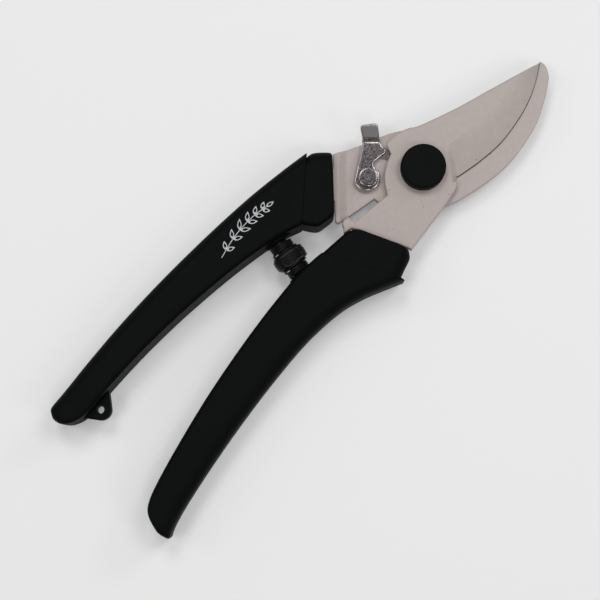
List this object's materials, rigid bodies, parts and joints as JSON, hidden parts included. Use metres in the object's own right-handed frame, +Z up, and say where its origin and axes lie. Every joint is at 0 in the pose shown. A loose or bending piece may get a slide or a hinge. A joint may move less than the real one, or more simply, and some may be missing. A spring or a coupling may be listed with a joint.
{
  "type": "pruning shears",
  "caption": "Bypass pruning shears with black sleeved handles, coated steel blades, a capped pivot, a coil spring and a thumb catch, shown closed and locked.",
  "frame": {"origin": "on the pivot axis, at the plane that the nut cap and the grips' undersides rest on", "axes": "+X along the closed blades towards the tip, +Z up out of the blade side's face, along the pivot; the hook's handle is on the +Y side"},
  "size_m": [0.1991, 0.0612, 0.016],
  "materials": {
    "coated_steel": "satin non-stick coating, pale warm grey",
    "bright_steel": "plated steel, brushed faces and bright edges",
    "zinc_steel": "zinc plated",
    "spring_steel": "black spring wire, slight sheen",
    "bronze": "plain turned",
    "soft_grip": "matt black, fine moulded texture",
    "hard_plastic": "satin black",
    "cap_plastic": "satin black"
  },
  "bodies": {
    "hook_side": {"counter_blade": "coated_steel", "hook_handle_core": "hard_plastic", "hook_handle_grip": "soft_grip", "hook_tang_pin_front": "zinc_steel", "hook_tang_pin_rear": "zinc_steel", "pivot_bolt": "zinc_steel", "pivot_washer": "zinc_steel", "pivot_nut": "zinc_steel", "pivot_cap": "cap_plastic", "nut_cap": "cap_plastic", "lock_rivet": "bright_steel", "lock_rivet_burr": "zinc_steel", "spring": "spring_steel"},
    "blade_side": {"cutting_blade": "coated_steel", "blade_handle_core": "hard_plastic", "blade_handle_grip": "soft_grip", "blade_tang_pin_front": "zinc_steel", "blade_tang_pin_rear": "zinc_steel", "pivot_bush": "bronze"},
    "catch": {"lock_lever": "bright_steel", "lock_wave_washer": "spring_steel"}
  },
  "joints": [
    {"name": "blade_pivot", "type": "hinge", "parent": "hook_side", "child": "blade_side", "pos_m": [0, 0, 0.008], "axis": [0, 0, 1], "range_deg": [0, 26], "deforming": ["spring"]},
    {"name": "lock_pivot", "type": "hinge", "parent": "hook_side", "child": "catch", "pos_m": [-0.0147, 0.0106, 0.008], "axis": [0, 0, 1], "range_deg": [0, 25]}
  ]
}
